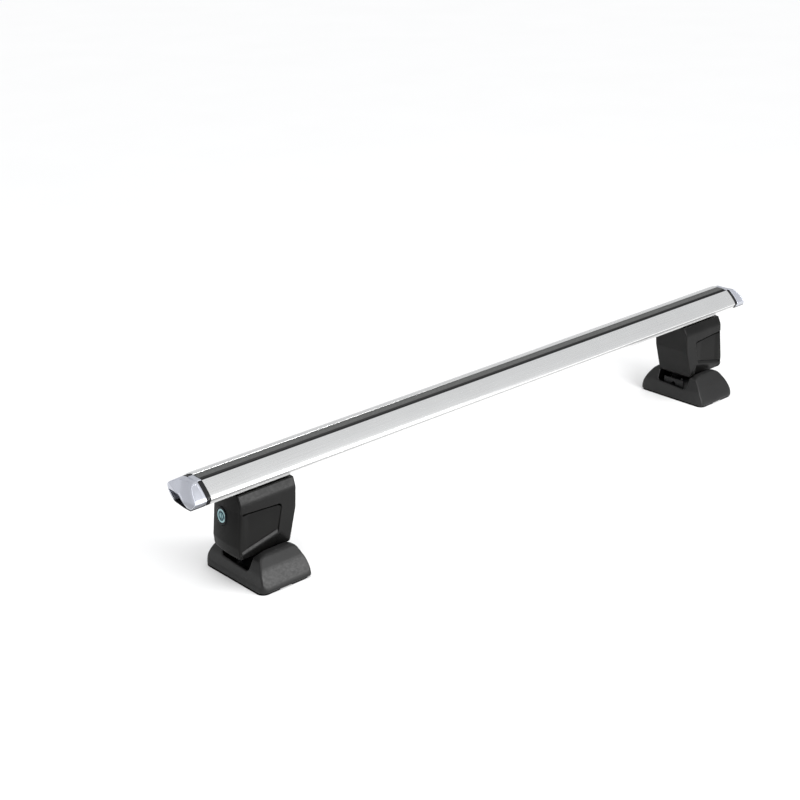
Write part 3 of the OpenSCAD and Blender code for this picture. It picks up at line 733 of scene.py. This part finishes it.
def infill_rubber(name):
    """Ribbed strip: the top is grey; everything below the rib tops is near black, painted shade for the groove beside
    it.
    """
    m, t, p = new_material(name)
    v = coords(t)
    c = t.nodes.new("ShaderNodeTexCoord")
    sep = t.nodes.new("ShaderNodeSeparateXYZ")
    t.links.new(c.outputs["Object"], sep.inputs[0])
    height = spread(t, sep.outputs["Z"], 0.0, 1.0, (BZ + 34.0) * MM, (BZ + 34.5) * MM)
    specks = noise(t, coords(t, (260, 900, 900)), 1.0, 4.0, 0.7)
    top = ramp(t, specks, [(0.3, (0.055, 0.056, 0.055)), (0.7, (0.115, 0.117, 0.115))])
    # painted shade: below BZ+34 mm the colour is near black, so the groove and the dips between ribs read dark
    t.links.new(mixed(t, height, (0.006, 0.006, 0.0065), top), p.inputs["Base Color"])
    t.links.new(spread(t, specks, 0.62, 0.8), p.inputs["Roughness"])
    p.inputs["Specular IOR Level"].default_value = 0.3
    bump(t, p, [(noise(t, v, 1100.0, 3.0, 0.6), 0.4, 0.0002)])
    return m


def zinc(name):
    """Zinc-plated steel: bright, slightly clouded, with fine scratches."""
    m, t, p = new_material(name)
    v = coords(t)
    t.links.new(ramp(t, noise(t, v, 75.0, 4.0, 0.6), [(0.3, (0.46, 0.47, 0.48)), (0.7, (0.62, 0.63, 0.64))]), p.inputs["Base Color"])
    t.links.new(spread(t, noise(t, coords(t, (60, 1400, 1400)), 1.0, 3.0), 0.28, 0.48), p.inputs["Roughness"])
    p.inputs["Metallic"].default_value = 1.0
    bump(t, p, [(noise(t, v, 700.0, 2.0), 0.12, 0.00012)])
    return m


def lock_face(name):
    """Teal moulded face: light outer ring, darker dished band, light middle."""
    m, t, p = new_material(name)
    v = coords(t)
    c = t.nodes.new("ShaderNodeTexCoord")
    fold = t.nodes.new("ShaderNodeVectorMath")
    fold.operation = "ABSOLUTE"
    t.links.new(c.outputs["Object"], fold.inputs[0])
    away = t.nodes.new("ShaderNodeVectorMath")
    away.operation = "DISTANCE"
    away.inputs[1].default_value = ((FOOT + LOCK_U) * MM, LOCK_Y * MM, LOCK_Z * MM)
    t.links.new(fold.outputs[0], away.inputs[0])
    r = spread(t, away.outputs["Value"], 0.0, 1.0, 0.0, 0.0112)
    speck = noise(t, v, 900.0, 3.0, 0.6)
    light = ramp(t, speck, [(0.25, (0.27, 0.47, 0.49)), (0.75, (0.42, 0.64, 0.66))])
    deep = ramp(t, speck, [(0.25, (0.008, 0.055, 0.075)), (0.75, (0.015, 0.085, 0.11))])
    band = ramp(t, r, [(0.0, (0.25,) * 3), (0.36, (0.25,) * 3), (0.42, (1, 1, 1)), (0.67, (1, 1, 1)), (0.72, (0, 0, 0)), (0.90, (0, 0, 0)), (0.94, (1, 1, 1))])
    t.links.new(mixed(t, band, light, deep), p.inputs["Base Color"])
    t.links.new(spread(t, noise(t, v, 300.0, 2.0), 0.3, 0.42), p.inputs["Roughness"])
    bump(t, p, [(noise(t, v, 1600.0, 2.0), 0.15, 0.0001)])
    return m


def coated(name):
    """Black-coated steel: half-gloss, slight orange peel."""
    m, t, p = new_material(name)
    v = coords(t)
    t.links.new(ramp(t, noise(t, v, 120.0, 3.0, 0.6), [(0.3, (0.003, 0.003, 0.0033)), (0.7, (0.006, 0.006, 0.0065))]), p.inputs["Base Color"])
    p.inputs["Specular IOR Level"].default_value = 0.22
    t.links.new(spread(t, noise(t, v, 220.0, 2.0), 0.32, 0.46), p.inputs["Roughness"])
    bump(t, p, [(noise(t, v, 800.0, 2.0), 0.15, 0.0001)])
    return m


# the second colour is the base of the painted shade on the bar's underside band
alu = anodised("anodised_aluminium", (0.87, 0.875, 0.872), (0.50, 0.50, 0.498), 0.26)
cap_mat = painted("silver_paint", (0.53, 0.547, 0.605), (0.62, 0.637, 0.695), 0.34, 0.88)
insert_mat = grained("insert_plastic", (0.004, 0.004, 0.0045), (0.007, 0.007, 0.008), 0.40, level=0.3)
tower_mat = grained("tower_plastic", (0.0032, 0.0032, 0.0031), (0.0050, 0.0050, 0.0048), 0.36, level=0.155)
cover_mat = grained("cover_plastic", (0.0040, 0.0039, 0.0036), (0.0058, 0.0057, 0.0052), 0.40, level=0.062)
ct = cover_mat.node_tree
cp = next(n for n in ct.nodes if n.type == "BSDF_PRINCIPLED")
cc = ct.nodes.new("ShaderNodeTexCoord")
cs = ct.nodes.new("ShaderNodeSeparateXYZ")
ct.links.new(cc.outputs["Object"], cs.inputs[0])
# painted light on the cover: lighter toward the front side and much lighter toward the rear side, dark across the
# middle of the end face, and pulled toward a mid tone low down
across = spread(ct, cs.outputs["Y"], 0.0, 1.0, -0.036, 0.036)
blotches = noise(ct, cc.outputs["Object"], 22.0, 4.0, 0.6)
painted_light_across = ramp(ct, across, [(0.0, (0.0075,) * 3), (0.03, (0.0075,) * 3), (0.09, (0.0020,) * 3), (0.50, (0.0018,) * 3), (0.78, (0.0085,) * 3), (1.0, (0.030,) * 3)])
painted_light_low = ramp(ct, spread(ct, cs.outputs["Z"], 0.0, 1.0, 0.060, 0.125), [(0.0, (0.50,) * 3), (0.45, (0.38,) * 3), (0.80, (0.0,) * 3)])
tone = mixed(ct, painted_light_low, painted_light_across, (0.0125, 0.0124, 0.0118))
ct.links.new(mixed(ct, spread(ct, blotches, 0.0, 0.16), tone, (0.0100, 0.0098, 0.0092)), cp.inputs["Base Color"])
base_mat = grained("base_plastic", (0.0085, 0.0085, 0.0085), (0.0120, 0.0120, 0.0120), 0.42, grain=1300.0, level=0.27)
ring_mat = grained("ring_plastic", (0.0003, 0.0016, 0.0030), (0.0006, 0.0028, 0.0048), 0.3, grain=2200.0, strength=0.15, level=0.10)
face_mat = lock_face("lock_face_teal")
coated_mat = coated("black_coated_steel")
infill_mat = infill_rubber("infill_rubber")
pad_mat = rubber("pad_rubber", (0.0015, 0.0015, 0.0015), (0.0032, 0.0032, 0.0032), 0.80, level=0.08)
steel_mat = zinc("zinc_steel")


def dress(ob, mat):
    if not ob.material_slots:
        ob.data.materials.append(mat)
    for s in ob.material_slots:
        s.material = mat


dress(bar, alu)
dress(strip, infill_mat)
for group, mat in ((inserts, insert_mat), (caps, cap_mat), (housing, tower_mat), (cover, cover_mat), (rings, ring_mat), (barrels, face_mat), (base, base_mat)):
    for ob in group.values():
        dress(ob, mat)
kinds = {"saddle_pad": pad_mat, "base_pad": pad_mat, "clamp_plate": steel_mat, "clamp_bolt": steel_mat, "clamp_washer": steel_mat, "lock_cam": steel_mat,
         "support_bracket": coated_mat, "cross_bolt": steel_mat, "cross_nut": steel_mat, "base_plate": coated_mat, "base_screws": steel_mat}
for name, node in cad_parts.items():
    for word, mat in kinds.items():
        if name.endswith("_" + word):
            dress(node, mat)

# ---------------------------------------------------------------- floor, light, camera
fm, ft, fp_ = new_material("floor_paper")
ft.links.new(ramp(ft, noise(ft, coords(ft), 3.0, 2.0), [(0.3, (0.925, 0.925, 0.923)), (0.7, (0.935, 0.935, 0.933))]), fp_.inputs["Base Color"])
fp_.inputs["Roughness"].default_value = 0.9
fp_.inputs["Specular IOR Level"].default_value = 0.1
floor = make("floor", [(-16000, -16000, 0), (16000, -16000, 0), (16000, 16000, 0), (-16000, 16000, 0)], [(0, 1, 2, 3)])
dress(floor, fm)

world = bpy.data.worlds.new("studio")
bpy.context.scene.world = world
world.use_nodes = True
world.node_tree.nodes["Background"].inputs["Color"].default_value = (0.985, 0.99, 1.0, 1)
world.node_tree.nodes["Background"].inputs["Strength"].default_value = 0.70


def softbox(name, place, aim, width, height, watts, color=(1, 1, 1)):
    light = bpy.data.lights.new(name, "AREA")
    light.shape = "RECTANGLE"
    light.size, light.size_y = width, height
    light.energy = watts
    light.color = color
    ob = bpy.data.objects.new(name, light)
    bpy.context.scene.collection.objects.link(ob)
    ob.location = place
    ob.rotation_mode = "QUATERNION"
    ob.rotation_quaternion = (Vector(aim) - Vector(place)).to_track_quat("-Z", "Y")
    return ob


sun = bpy.data.lights.new("sky_panel", "SUN")
sun.energy = 1.25
sun.angle = math.radians(55)
sun_ob = bpy.data.objects.new("sky_panel", sun)
bpy.context.scene.collection.objects.link(sun_ob)
sun_ob.rotation_mode = "QUATERNION"
sun_ob.rotation_quaternion = Vector((0.25, 0.30, -0.92)).to_track_quat("-Z", "Y")
softbox("front_panel", (0.05, -1.25, 0.50), (0.0, 0.0, 0.10), 1.2, 0.42, 23.0)

cam = bpy.data.cameras.new("camera")
cam.lens = 69.61
cam.sensor_width = 36.0
cam.sensor_fit = "HORIZONTAL"
cam.clip_start, cam.clip_end = 0.05, 60.0
camera = bpy.data.objects.new("camera", cam)
bpy.context.scene.collection.objects.link(camera)
right = Vector((0.74506, -0.66652, -0.02474))
down = Vector((-0.26625, -0.26320, -0.92728))
ahead = Vector((0.61156, 0.69748, -0.37356))
m = Matrix.Identity(4)
for i, axis in enumerate((right, -down, -ahead)):
    for j in range(3):
        m[j][i] = axis[j]
camera.rotation_mode = "QUATERNION"
camera.rotation_quaternion = m.to_quaternion()
camera.location = (-1.6943, -1.6882, 1.0943)
bpy.context.scene.camera = camera
bpy.context.scene.view_settings.view_transform = "Standard"
